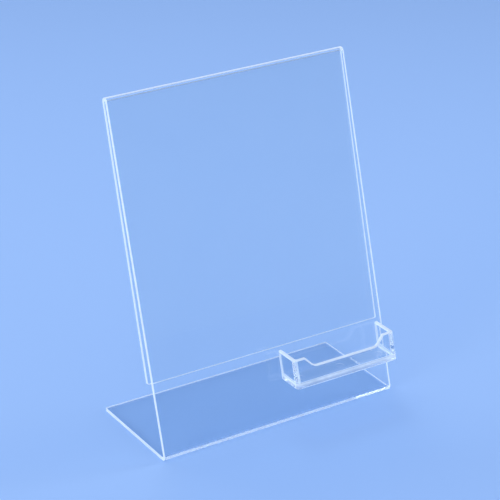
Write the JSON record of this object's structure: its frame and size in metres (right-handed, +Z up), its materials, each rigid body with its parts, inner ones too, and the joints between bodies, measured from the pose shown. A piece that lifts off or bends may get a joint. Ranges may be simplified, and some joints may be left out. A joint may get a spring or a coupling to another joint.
{
  "type": "sign holder",
  "caption": "Clear slant-back sign holder bent from one acrylic sheet, with a slot for an upright letter-size sheet and a clear card pocket at the lower right of its front.",
  "frame": {"origin": "centre of the bounding box's bottom, on the table", "axes": "+X right as seen from the front, +Y to the back, +Z up"},
  "size_m": [0.216, 0.1102, 0.2773],
  "materials": {
    "clear_sheet": "clear, polished faces, flame-polished cut edges",
    "clear_moulding": "clear, moulded"
  },
  "bodies": {
    "root": {"base_plate": "clear_sheet", "front_bend": "clear_sheet", "front_panel": "clear_sheet", "top_fold": "clear_sheet", "back_panel": "clear_sheet", "card_pocket": "clear_moulding"}
  },
  "joints": []
}
